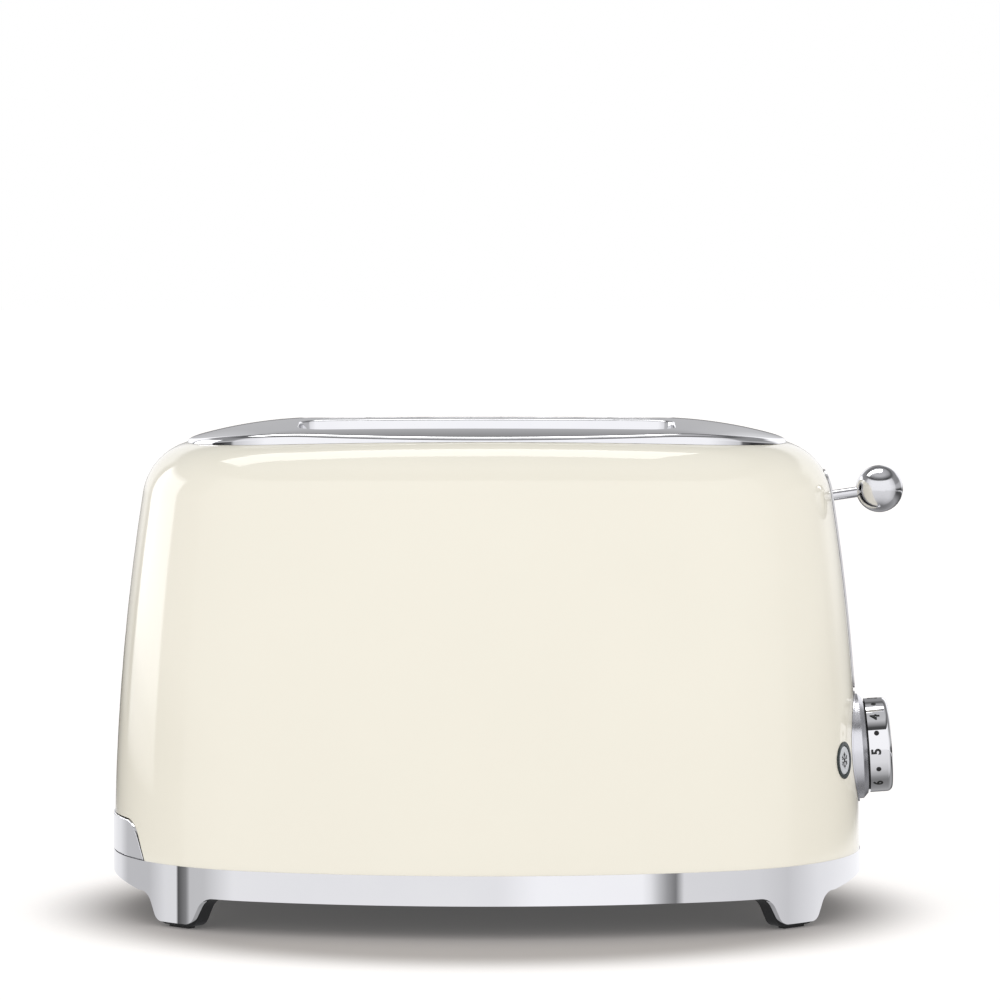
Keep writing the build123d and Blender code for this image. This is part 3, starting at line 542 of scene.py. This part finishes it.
@dataclass
class Housing:
    """Body shell, top plate, base ring and base moulding, with what is fixed to them."""

    form: OvalForm
    rolled_near: float = 0.94

    def dress(self) -> None:
        """Dress the outer pieces."""
        skin, wall = self.form.skin_normal, self.form.wall_normal
        smooth_copy("body_shell", ENAMEL, [skin])
        smooth_copy("top_plate", CHROME, [self.form.plate_normal], near=self.rolled_near)
        smooth_copy("base_ring", CHROME, [wall])
        smooth_copy("base_pan", BLACK_ABS, [wall])
        smooth_copy("lever_slot_trim", PLATED, [skin])
        paint(NODES["foot_pads"], RUBBER)
        smooth_copy("cord_gland", RUBBER)
        paint(NODES["terminal_block"], NYLON)


@dataclass
class CrumbTray:
    """Pull-out tray with its chrome handle."""

    form: OvalForm

    def dress(self) -> None:
        """Dress the tray and its handle."""
        smooth_copy("crumb_tray_handle", CHROME, [self.form.wall_normal])
        paint(NODES["crumb_tray"], ZINC)


@dataclass
class Lever:
    """Carriage, racks, lever rod and ball, with their rods, spring and holding magnet."""

    rod_tilt: float = 8.4

    def dress(self) -> None:
        """Dress the lever, the carriage and the magnet."""
        low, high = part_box("lever_ball")
        centre = (Vector(low) + Vector(high)) / 2
        turn = math.radians(self.rod_tilt)
        rod_way = Vector((math.cos(turn), 0, math.sin(turn)))
        smooth_copy("lever_ball", BALL_CHROME, [ball(centre)])
        smooth_copy("lever_rod", BALL_CHROME, [round_bar(centre, rod_way)])
        for node in ("carriage", "front_bread_rack", "rear_bread_rack"):
            smooth_copy(node, ZINC)
        smooth_copy("guide_rods", BRIGHT)
        smooth_copy("lift_spring", SPRING)
        paint(NODES["magnet_core"], IRON)
        paint(NODES["armature_plate"], IRON)
        smooth_copy("magnet_coil", COPPER)


@dataclass
class Chassis:
    """End plates, heat shields, heaters and bread guards."""

    def dress(self) -> None:
        """Dress the chassis and the heaters."""
        for node in ("tray_end_plate", "control_end_plate", "front_heat_shield", "rear_heat_shield"):
            paint(NODES[node], ZINC)
        for side in ("front", "rear"):
            for place in ("outer", "inner"):
                paint(NODES[f"{side}_{place}_heater_board"], MICA)
                paint(NODES[f"{side}_{place}_heater_ribbon"], HEATER)
                smooth_copy(f"{side}_{place}_guard", BRIGHT)


@dataclass
class Dial:
    """Browning dial: collar, gap ring, knob with printed numbers, shaft, control and board."""

    radius: float = 19.3 * MM
    back: float = 4.35 * MM
    marks_in: float = 3.35 * MM
    digit_height: float = 3.7 * MM
    digit_share: float = 0.69
    digit_swell: float = 0.2 * MM
    dot_radius: float = 1.05 * MM
    dot_sides: int = 28
    ink: float = 0.05 * MM
    settings: int = 6
    third_at: float = 91.7
    step: float = 45.4

    def angle(self, setting: float) -> float:
        """Place of a setting round the knob, in degrees."""
        return self.third_at + self.step * (setting - 3)

    def wrap(self, obj: bpy.types.Object, angle: float) -> None:
        """Lay a flat mark on the knob: its top towards the body, its right side turning down from the top.

        Args:
            obj: Flat mesh about its own origin, x right, y up, z out.
            angle: Place round the knob in degrees, counter-clockwise seen from outside, from +Y.
        """
        across = Vector((0, 1, 0))
        up = DIAL_WAY.cross(across)
        for vertex in obj.data.vertices:
            u, v, w = vertex.co
            turn = math.radians(angle) - u / self.radius
            out = across * math.cos(turn) + up * math.sin(turn)
            along = self.back + self.marks_in - v
            vertex.co = DIAL_POINT + DIAL_WAY * along + out * (self.radius + w)

    def digit(self, number: int) -> bpy.types.Object:
        """Make one number's mark.

        Args:
            number: The setting.

        Returns:
            The mark, laid on the knob.
        """
        bpy.ops.object.select_all(action="DESELECT")
        bpy.ops.object.text_add()
        text = bpy.context.object
        text.data.body = str(number)
        text.data.align_x = "CENTER"
        text.data.align_y = "CENTER"
        text.data.size = self.digit_height / self.digit_share
        text.data.offset = self.digit_swell
        text.data.extrude = self.ink
        text.data.resolution_u = 6
        bpy.ops.object.convert(target="MESH")
        mark = bpy.context.object
        middle = sum((v.co for v in mark.data.vertices), Vector()) / len(mark.data.vertices)
        for vertex in mark.data.vertices:
            vertex.co.x -= middle.x
            vertex.co.y -= middle.y
        self.wrap(mark, self.angle(number))
        return mark

    def dot(self, setting: float) -> bpy.types.Object:
        """Make one dot between two numbers.

        Args:
            setting: The half setting it stands for.

        Returns:
            The dot, laid on the knob.
        """
        bpy.ops.object.select_all(action="DESELECT")
        bpy.ops.mesh.primitive_cylinder_add(vertices=self.dot_sides, radius=self.dot_radius,
                                            depth=2 * self.ink)
        spot = bpy.context.object
        bpy.ops.object.mode_set(mode="EDIT")
        bpy.ops.mesh.select_all(action="SELECT")
        bpy.ops.mesh.bevel(offset=self.ink / 3, segments=2)
        bpy.ops.object.mode_set(mode="OBJECT")
        self.wrap(spot, self.angle(setting))
        return spot

    def dress(self) -> None:
        """Dress the dial and print its marks."""
        barrel = round_bar(DIAL_POINT, DIAL_WAY)
        smooth_copy("dial_collar", SATIN, [barrel])
        smooth_copy("dial_gap_ring", BLACK_ABS, [barrel])
        smooth_copy("dial_knob", CHROME, [barrel])
        smooth_copy("dial_shaft", BRIGHT, [barrel])
        paint(NODES["browning_control"], NYLON)
        paint(NODES["control_board"], BOARD)
        marks = [self.digit(n) for n in range(1, self.settings + 1)]
        marks += [self.dot(n + 0.5) for n in range(1, self.settings)]
        settle(join(marks), "dial_marks", INK, BODY_OF["dial_knob"])


@dataclass
class PushButton:
    """One push button with its bezel, switch and printed sign."""

    name: str
    arm: float = 3.3 * MM
    line: float = 0.5 * MM
    ink: float = 0.06 * MM
    # Shares of the arm, and degrees: the frost sign's twigs.
    twig: float = 0.38
    twig_at: float = 0.55
    twig_lean: float = 50.0
    # Shares of the arm, and degrees: the heat sign's waving lines.
    wave: float = 0.52
    wave_pitch: float = 0.55
    wave_rise: float = 0.47
    wave_sway: float = 0.17
    wave_lean: float = 20.0

    def place(self) -> Matrix:
        """Find the sign's place on the button's cap.

        Returns:
            Matrix from flat sign coordinates to the row frame.
        """
        out = -Vector(JOINTS[f"{self.name}_press"]["axis"]).normalized()
        across = Vector((0, 0, 1)).cross(out).normalized()
        up = out.cross(across)
        node = NODES[f"{self.name}_button"]
        front = max(node.data.vertices, key=lambda v: v.co.dot(out)).co.dot(out)
        middle = sum((v.co for v in node.data.vertices), Vector()) / len(node.data.vertices)
        centre = middle + out * (front - middle.dot(out))
        turn = Matrix((across, up, out)).transposed().to_4x4()
        return Matrix.Translation(centre) @ turn

    def bar(self, length: float, reach: float, angle: float, lean: float = 0.0) -> bpy.types.Object:
        """Make one line of a sign.

        Args:
            length: Its length.
            reach: How far out from the sign's middle it starts.
            angle: Direction out from the middle in degrees.
            lean: Turn of the line against that direction in degrees.

        Returns:
            The flat line.
        """
        bpy.ops.object.select_all(action="DESELECT")
        bpy.ops.mesh.primitive_cube_add(size=1.0)
        line = bpy.context.object
        bpy.ops.object.mode_set(mode="EDIT")
        bpy.ops.mesh.select_all(action="SELECT")
        bpy.ops.transform.resize(value=(length, self.line, 2 * self.ink))
        bpy.ops.transform.translate(value=(length / 2, 0, 0))
        bpy.ops.mesh.bevel(offset=self.ink / 2, segments=2)
        bpy.ops.object.mode_set(mode="OBJECT")
        place = Matrix.Rotation(math.radians(angle), 4, "Z") @ Matrix.Translation((reach, 0, 0))
        line.data.transform(place @ Matrix.Rotation(math.radians(lean), 4, "Z"))
        return line

    def snow_sign(self) -> List[bpy.types.Object]:
        """Make a plain six-armed frost sign.

        Returns:
            Its lines.
        """
        lines = []
        for arm in range(6):
            angle = 30 + 60 * arm
            lines.append(self.bar(self.arm, 0, angle))
            for lean in (-self.twig_lean, self.twig_lean):
                lines.append(self.bar(self.arm * self.twig, self.arm * self.twig_at, angle, lean))
        return lines

    def heat_sign(self) -> List[bpy.types.Object]:
        """Make a plain sign of three rising heat lines.

        Returns:
            Its lines.
        """
        lines = []
        for column in (-1, 0, 1):
            for row, lean in enumerate((-self.wave_lean, self.wave_lean, -self.wave_lean)):
                line = self.bar(self.arm * self.wave, 0, 90, lean)
                across = self.arm * (column * self.wave_pitch + row % 2 * self.wave_sway)
                up = self.arm * (row - 1.5) * self.wave_rise
                line.data.transform(Matrix.Translation((across, up, 0)))
                lines.append(line)
        return lines

    def dress(self, lines: List[bpy.types.Object]) -> None:
        """Dress the button and print its sign.

        Args:
            lines: The sign's flat lines.
        """
        smooth_copy(f"{self.name}_bezel", DARK_ABS)
        smooth_copy(f"{self.name}_button", PALE_ABS)
        paint(NODES[f"{self.name}_switch"], BLACK_ABS)
        sign = join(lines)
        sign.data.transform(self.place())
        settle(sign, f"{self.name}_sign", INK, BODY_OF[f"{self.name}_button"])


@dataclass
class BaseScrews:
    """Pan head screws with a cross recess, under the base."""

    head_radius: float = 3.0 * MM
    head_height: float = 1.8 * MM
    shank_radius: float = 1.5 * MM
    shank_length: float = 14.0 * MM
    rounding: float = 0.35 * MM
    recess: float = 1.1 * MM
    recess_length: float = 3.4 * MM
    recess_width: float = 0.75 * MM
    sides: int = 48
    sharp: float = 30.0
    # Radians by which a screw's stopping turn differs along the base, for each metre in x and in y.
    turn_x: float = 900.0
    turn_y: float = 700.0

    def one(self) -> bpy.types.Object:
        """Model one screw, head down, its head's seat at the origin.

        Returns:
            The screw.
        """
        bpy.ops.object.select_all(action="DESELECT")
        bpy.ops.mesh.primitive_cylinder_add(vertices=self.sides, radius=self.head_radius,
                                            depth=self.head_height, location=(0, 0, -self.head_height / 2))
        screw = bpy.context.object
        bpy.ops.object.transform_apply(location=True, rotation=False, scale=False)
        mesh = screw.data
        bpy.ops.object.mode_set(mode="EDIT")
        bpy.ops.mesh.select_mode(type="FACE")
        bpy.ops.mesh.select_all(action="DESELECT")
        bpy.ops.object.mode_set(mode="OBJECT")
        for face in mesh.polygons:
            face.select = face.normal.z > 0.9
        bpy.ops.object.mode_set(mode="EDIT")
        bpy.ops.mesh.inset(thickness=self.head_radius - self.shank_radius)
        bpy.ops.mesh.extrude_region_move(TRANSFORM_OT_translate={"value": (0, 0, self.shank_length)})
        bpy.ops.object.mode_set(mode="OBJECT")
        bevel = screw.modifiers.new("rounding", "BEVEL")
        bevel.width = self.rounding
        bevel.segments = 3
        bevel.limit_method = "ANGLE"
        bpy.ops.object.modifier_apply(modifier="rounding")
        for turn in (0.0, math.pi / 2):
            self.cut_slot(screw, turn)
        return screw

    def cut_slot(self, screw: bpy.types.Object, turn: float) -> None:
        """Cut one arm of the cross recess.

        Args:
            screw: The screw.
            turn: Direction of the arm in radians.
        """
        bpy.ops.object.select_all(action="DESELECT")
        bpy.ops.mesh.primitive_cube_add(size=1.0, location=(0, 0, -self.head_height), rotation=(0, 0, turn))
        cutter = bpy.context.object
        cutter.scale = (self.recess_length, self.recess_width, 2 * self.recess)
        bpy.ops.object.transform_apply(location=True, rotation=True, scale=True)
        select_only(screw)
        cut = screw.modifiers.new("recess", "BOOLEAN")
        cut.object = cutter
        cut.solver = "EXACT"
        bpy.ops.object.modifier_apply(modifier="recess")
        bpy.data.objects.remove(cutter)

    def dress(self) -> None:
        """Model the screw once and copy it to its four places."""
        low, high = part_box("base_screws")
        first = self.one()
        seat = low[2] + self.head_height
        screws = []
        for x in (low[0] + self.head_radius, high[0] - self.head_radius):
            for y in (low[1] + self.head_radius, high[1] - self.head_radius):
                copy = bpy.data.objects.new("base_screw", first.data.copy())
                bpy.context.scene.collection.objects.link(copy)
                turn = Matrix.Rotation(x * self.turn_x + y * self.turn_y, 4, "Z")
                copy.data.transform(Matrix.Translation((x, y, seat)) @ turn)
                screws.append(copy)
        bpy.data.objects.remove(first)
        screw_set = join(screws)
        bpy.ops.object.shade_smooth_by_angle(angle=math.radians(self.sharp))
        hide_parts("base_screws")
        settle(screw_set, "base_screw_set", BRIGHT, BODY_OF["base_screws"])


@dataclass
class Studio:
    """Camera, light panel, grey floor with a painted glow, and the white room with its dark flags."""

    camera_x: float = -3.245 * MM
    camera_back: float = 2464.0 * MM
    camera_height: float = 332.0 * MM
    pitch: float = 3.81
    lens: float = 217.05
    floor_size: float = 14.0
    # The floor's shadow: its middle and where it fades. The floor also gives off painted light: a weak glow in the
    # shadow, a strong one past it that paints the floor white, and an even glow into bounces that acts as painted
    # fill on the toaster.
    shadow_x: float = -9.0 * MM
    shadow_near: float = 140.0 * MM
    shadow_far: float = 195.0 * MM
    glow_near: float = 0.075
    glow_far: float = 0.68
    glow_bounced: float = 0.4
    # The mirrored room's light panel and pale walls.
    panel_light: Colour = (3.0, 3.0, 3.0, 1.0)
    wall_light: Colour = (1.15, 1.13, 1.1, 1.0)
    # The room's fill from the front and from behind, and the zenith's share of the horizon's.
    fill_front: float = 1.72
    fill_back: float = 1.36
    fill_zenith: float = 0.36

    def camera(self) -> None:
        """Stand the camera where the photograph was taken."""
        bpy.ops.object.select_all(action="DESELECT")
        bpy.ops.object.camera_add(location=(self.camera_x, -self.camera_back, self.camera_height),
                                  rotation=(math.radians(90 - self.pitch), 0, 0))
        camera = bpy.context.object
        camera.name = "studio_camera"
        camera.data.lens = self.lens
        camera.data.sensor_width = 36.0
        camera.data.clip_end = 50.0
        bpy.context.scene.camera = camera

    def panel(self, name: str, place: Tuple[float, float, float], aim: Tuple[float, float, float],
              size: Tuple[float, float], glow: float) -> None:
        """Hang one light panel.

        Args:
            name: Its name.
            place: Where it hangs.
            aim: The point it looks at.
            size: Width and height.
            glow: Brightness of its face, where 1 is paper white.
        """
        way = Vector(aim) - Vector(place)
        bpy.ops.object.select_all(action="DESELECT")
        turn = way.to_track_quat("-Z", "Y").to_euler()
        bpy.ops.object.light_add(type="AREA", location=place, rotation=turn)
        lamp = bpy.context.object
        lamp.name = name
        lamp.data.shape = "RECTANGLE"
        lamp.data.size, lamp.data.size_y = size
        lamp.data.energy = glow * math.pi * size[0] * size[1]
        lamp.visible_diffuse = False

    def floor(self) -> None:
        """Lay the floor: grey in itself, with a painted glow that is weak near the object, so its shadow stays,
        and strong farther off, so the floor is white there; to other rays it gives an even painted fill.
        """
        bpy.ops.object.select_all(action="DESELECT")
        bpy.ops.mesh.primitive_plane_add(size=self.floor_size, location=(0, 0, 0))
        floor = bpy.context.object
        floor.name = "studio_floor"
        floor.visible_glossy = False
        material = bpy.data.materials.new("grey_floor_with_painted_glow")
        material.use_nodes = True
        tree = material.node_tree
        tree.nodes.clear()
        where = add_node(tree, "ShaderNodeTexCoord")
        flat = add_node(tree, "ShaderNodeMapping", {
            "Vector": where.outputs["Object"], "Location": (self.shadow_x, 0.0, 0.0)},
            vector_type="TEXTURE")
        far = add_node(tree, "ShaderNodeVectorMath", {0: flat.outputs["Vector"]}, operation="LENGTH")
        # Painted light: the floor's glow rises with distance from the object, from faint in its shadow to strong
        # past it.
        rise = add_node(tree, "ShaderNodeMapRange", {
            "Value": far.outputs["Value"], "From Min": self.shadow_near, "From Max": self.shadow_far,
            "To Min": self.glow_near, "To Max": self.glow_far}, interpolation_type="SMOOTHSTEP")
        path = add_node(tree, "ShaderNodeLightPath")
        # Camera rays see the painted glow that rises with distance; all other rays get an even painted glow that
        # lights the toaster from below.
        strength = add_node(tree, "ShaderNodeMix", {
            "Factor": path.outputs["Is Camera Ray"], "A": self.glow_bounced, "B": rise.outputs["Result"]})
        glow = add_node(tree, "ShaderNodeEmission", {
            "Color": linear("FFFFFF"), "Strength": strength.outputs[0]})
        # The floor's own matt colour is grey; its white comes from the painted glow.
        matt = add_node(tree, "ShaderNodeBsdfDiffuse", {"Color": linear("B3AEAB")})
        both = add_node(tree, "ShaderNodeAddShader", {0: matt.outputs[0], 1: glow.outputs[0]})
        add_node(tree, "ShaderNodeOutputMaterial", {"Surface": both.outputs[0]})
        floor.data.materials.append(material)

    def mirrored_room(self, tree: bpy.types.NodeTree) -> Any:
        """Build what polished metal sees of the room.

        Args:
            tree: The world's node tree.

        Returns:
            Socket with the room's brightness.
        """
        where = add_node(tree, "ShaderNodeTexCoord")
        axes = add_node(tree, "ShaderNodeSeparateXYZ", {0: where.outputs["Generated"]})
        height = add_node(tree, "ShaderNodeMapRange", {
            "Value": axes.outputs["Z"], "From Min": -1.0}).outputs["Result"]
        ahead = product(tree, axes.outputs["Y"], -1.0)
        angle = add_node(tree, "ShaderNodeMath", {0: axes.outputs["X"], 1: ahead}, operation="ARCTAN2")
        compass = add_node(tree, "ShaderNodeMapRange", {
            "Value": angle.outputs[0], "From Min": -math.pi, "From Max": math.pi}).outputs["Result"]
        # In front: table, white wall, dark gap over it, grey ceiling, from straight down to straight up.
        front = grey_ramp(tree, height, [
            (0.0, 0.2), (0.025, 0.42), (0.08, 0.62), (0.19, 0.78), (0.425, 0.85), (0.446, 1.03),
            (0.832, 1.05), (0.838, 0.06), (0.88, 0.07), (0.93, 0.36), (0.96, 0.58), (1.0, 0.54)])
        # Behind: lit table far down, dark to the horizon, a grey wall low down and a dim one over it.
        behind = grey_ramp(tree, height, [
            (0.0, 0.2), (0.2, 0.4), (0.35, 0.1), (0.485, 0.04), (0.515, 0.5), (0.605, 0.5), (0.645, 0.28),
            (0.8, 0.3), (0.87, 0.1), (0.93, 0.42), (1.0, 0.54)])
        # Where the white wall in front ends on either side.
        wings = compass_ramp(tree, compass, [
            (-95, 0.0), (-84, 0.1), (-81, 0.6), (-50, 1.0), (50, 1.0), (81, 0.6), (84, 0.1), (95, 0.0)])
        room = mixed(tree, wings, behind, front)
        # The table's edge with its narrow flags, seen only by upright chrome low down.
        flags = compass_ramp(tree, compass, [
            (-165, 0.93), (-147, 0.82), (-135, 0.56), (-110, 0.56), (-96, 0.78), (-86.6, 0.79), (-86, 0.08),
            (-79.5, 0.25), (-77.5, 0.57), (-68, 0.58), (-50, 0.87), (2, 0.87), (8, 1.02), (26, 1.0),
            (29, 0.4), (31.8, 0.13), (32.3, 0.76), (60, 0.73), (80, 0.64), (104, 0.85), (160, 1.05)])
        strip = grey_ramp(tree, height, [(0.425, 0.0), (0.428, 1.0), (0.4415, 1.0), (0.446, 0.0)])
        flagged = mixed(tree, strip, room, flags)
        # A tall light panel behind on the left, fading out towards the table.
        width = compass_ramp(tree, compass, [(-142, 0.0), (-140, 1.0), (-108.5, 1.0), (-106.5, 0.0)])
        tall = grey_ramp(tree, height, [
            (0.461, 0.0), (0.467, 0.22), (0.475, 0.35), (0.482, 0.4), (0.49, 0.61), (0.505, 0.85),
            (0.52, 1.0), (0.69, 1.0), (0.73, 0.0)])
        lit = mixed(tree, product(tree, width, tall), flagged, self.panel_light)
        # The pale walls behind on either side, as tall as the panel.
        sides = compass_ramp(tree, compass, [
            (-175, 0.0), (-172, 1.0), (-150, 1.0), (-145, 0.0), (128, 0.0), (140, 1.0), (173, 1.0),
            (176, 0.0)])
        return mixed(tree, product(tree, sides, tall), lit, self.wall_light)

    def world(self) -> None:
        """Light the room: white to the camera, a fill strongest in front and low down, flags in mirrors."""
        world = bpy.data.worlds.new("studio_room")
        bpy.context.scene.world = world
        world.use_nodes = True
        tree = world.node_tree
        tree.nodes.clear()
        path = add_node(tree, "ShaderNodeLightPath")
        where = add_node(tree, "ShaderNodeTexCoord")
        axes = add_node(tree, "ShaderNodeSeparateXYZ", {0: where.outputs["Generated"]})
        key = add_node(tree, "ShaderNodeMapRange", {
            "Value": axes.outputs["Y"], "From Min": -1.0, "From Max": 0.6,
            "To Min": self.fill_front, "To Max": self.fill_back})
        sky = add_node(tree, "ShaderNodeMapRange", {
            "Value": axes.outputs["Z"], "To Min": 1.0, "To Max": self.fill_zenith})
        fill = add_node(tree, "ShaderNodeBackground", {
            "Color": linear("FFFFFF"),
            "Strength": product(tree, key.outputs["Result"], sky.outputs["Result"])})
        mirrored = add_node(tree, "ShaderNodeBackground", {
            "Color": linear("FCFCFF"), "Strength": self.mirrored_room(tree)})
        seen = add_node(tree, "ShaderNodeBackground", {"Color": linear("FFFFFF"), "Strength": 1.0})
        glossy = add_node(tree, "ShaderNodeMixShader", {
            0: path.outputs["Is Glossy Ray"], 1: fill.outputs[0], 2: mirrored.outputs[0]})
        clear = add_node(tree, "ShaderNodeMath", {
            0: path.outputs["Is Camera Ray"], 1: path.outputs["Is Transmission Ray"]}, operation="MAXIMUM")
        shown = add_node(tree, "ShaderNodeMixShader", {
            0: clear.outputs[0], 1: glossy.outputs[0], 2: seen.outputs[0]})
        add_node(tree, "ShaderNodeOutputWorld", {"Surface": shown.outputs[0]})

    def set_up(self) -> None:
        """Set the studio up."""
        self.camera()
        self.floor()
        self.world()
        self.panel("top_panel", place=(-0.25, 0.258, 1.3), aim=(-0.25, 0.13, 0.2), size=(1.2, 0.44), glow=3.4)
        bpy.context.scene.view_settings.view_transform = "Standard"


def main() -> None:
    """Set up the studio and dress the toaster."""
    logging.basicConfig(level=logging.INFO, format="%(message)s")
    form = OvalForm()
    Studio().set_up()
    Housing(form).dress()
    CrumbTray(form).dress()
    Lever().dress()
    Chassis().dress()
    Dial().dress()
    frost = PushButton("defrost")
    frost.dress(frost.snow_sign())
    warm = PushButton("reheat")
    warm.dress(warm.heat_sign())
    BaseScrews().dress()


if __name__ == "__main__":
    main()
